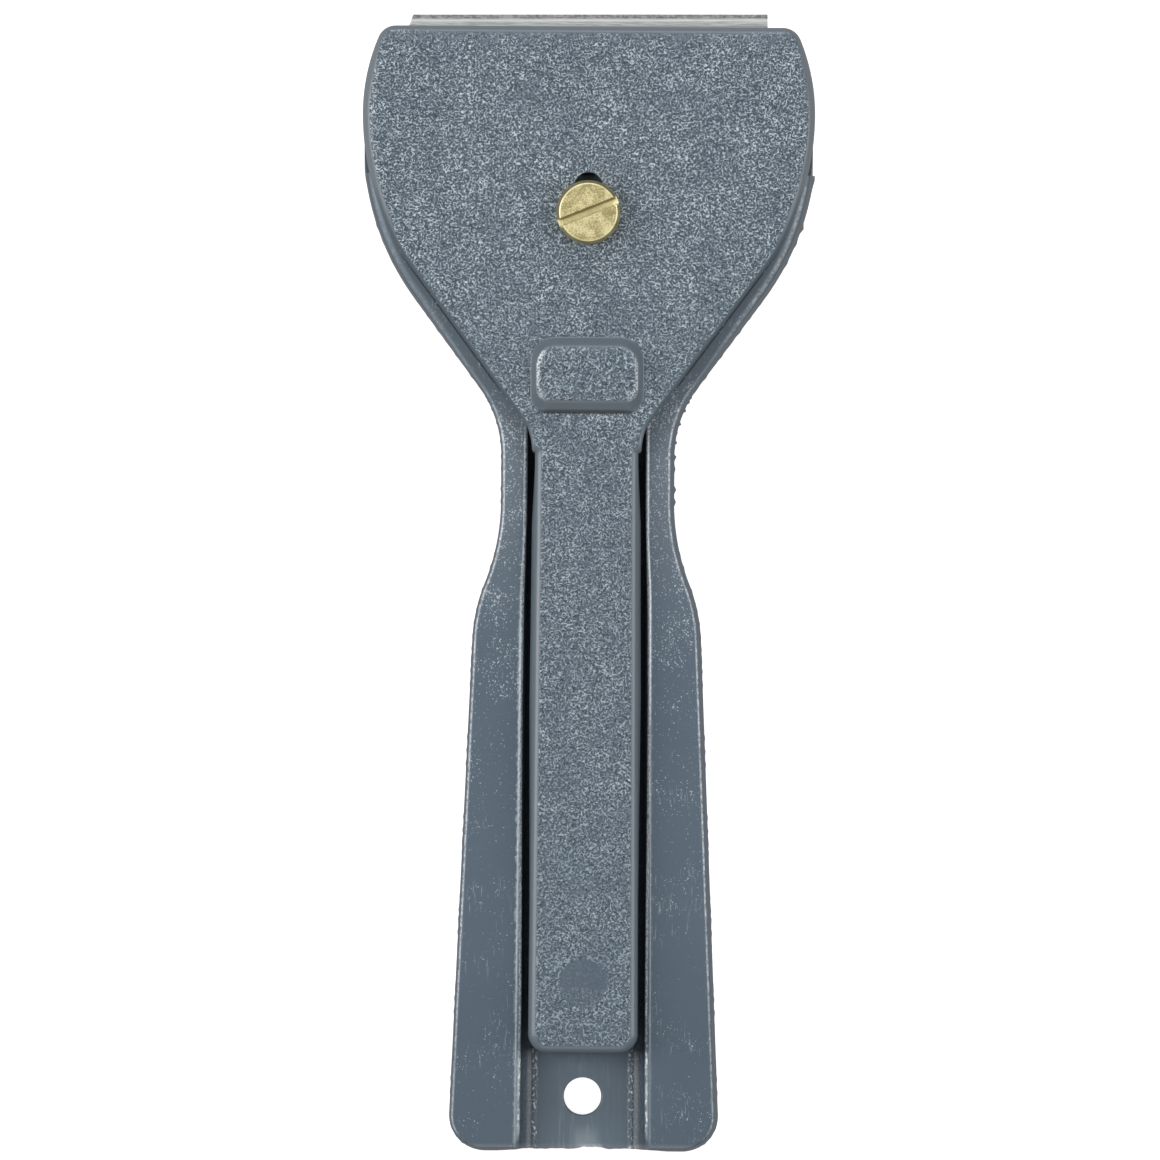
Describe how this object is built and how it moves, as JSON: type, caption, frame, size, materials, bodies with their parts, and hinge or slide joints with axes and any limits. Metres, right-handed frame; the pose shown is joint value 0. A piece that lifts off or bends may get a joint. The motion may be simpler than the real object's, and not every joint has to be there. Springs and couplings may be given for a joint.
{
  "type": "razor blade scraper",
  "caption": "Moulded plastic razor blade scraper with a flared hollow handle, a sliding guard on a long tongue over the blade, and a slotted brass clamp screw in a captive nut",
  "frame": {"origin": "under the middle of the box of the pictured pose, on the back of the handle", "axes": "+Y from the tail to the blade's edge, +Z from the back to the guard, +X across"},
  "size_m": [0.051, 0.128, 0.0104],
  "materials": {
    "handle_plastic": "smooth satin moulding, blue-grey",
    "guard_plastic": "moulded with a fine spark-eroded grain, blue-grey",
    "blade_steel": "rolled strip with a ground edge",
    "screw_brass": "turned, a little dulled",
    "nut_brass": "drawn bar, a little dulled"
  },
  "bodies": {
    "handle_body": {"handle": "handle_plastic", "blade": "blade_steel", "clamp_nut": "nut_brass"},
    "guard_body": {"guard": "guard_plastic"},
    "screw_body": {"clamp_screw": "screw_brass"}
  },
  "joints": [
    {"name": "guard_slide", "type": "slide", "parent": "handle_body", "child": "guard_body", "axis": [0, 1, 0], "range_m": [-0.0029, 0.002]},
    {"name": "screw_turn", "type": "hinge", "parent": "handle_body", "child": "screw_body", "pos_m": [0, 0.0417, 0.0082], "axis": [0, 0, 1], "range_deg": [0, 450]}
  ]
}
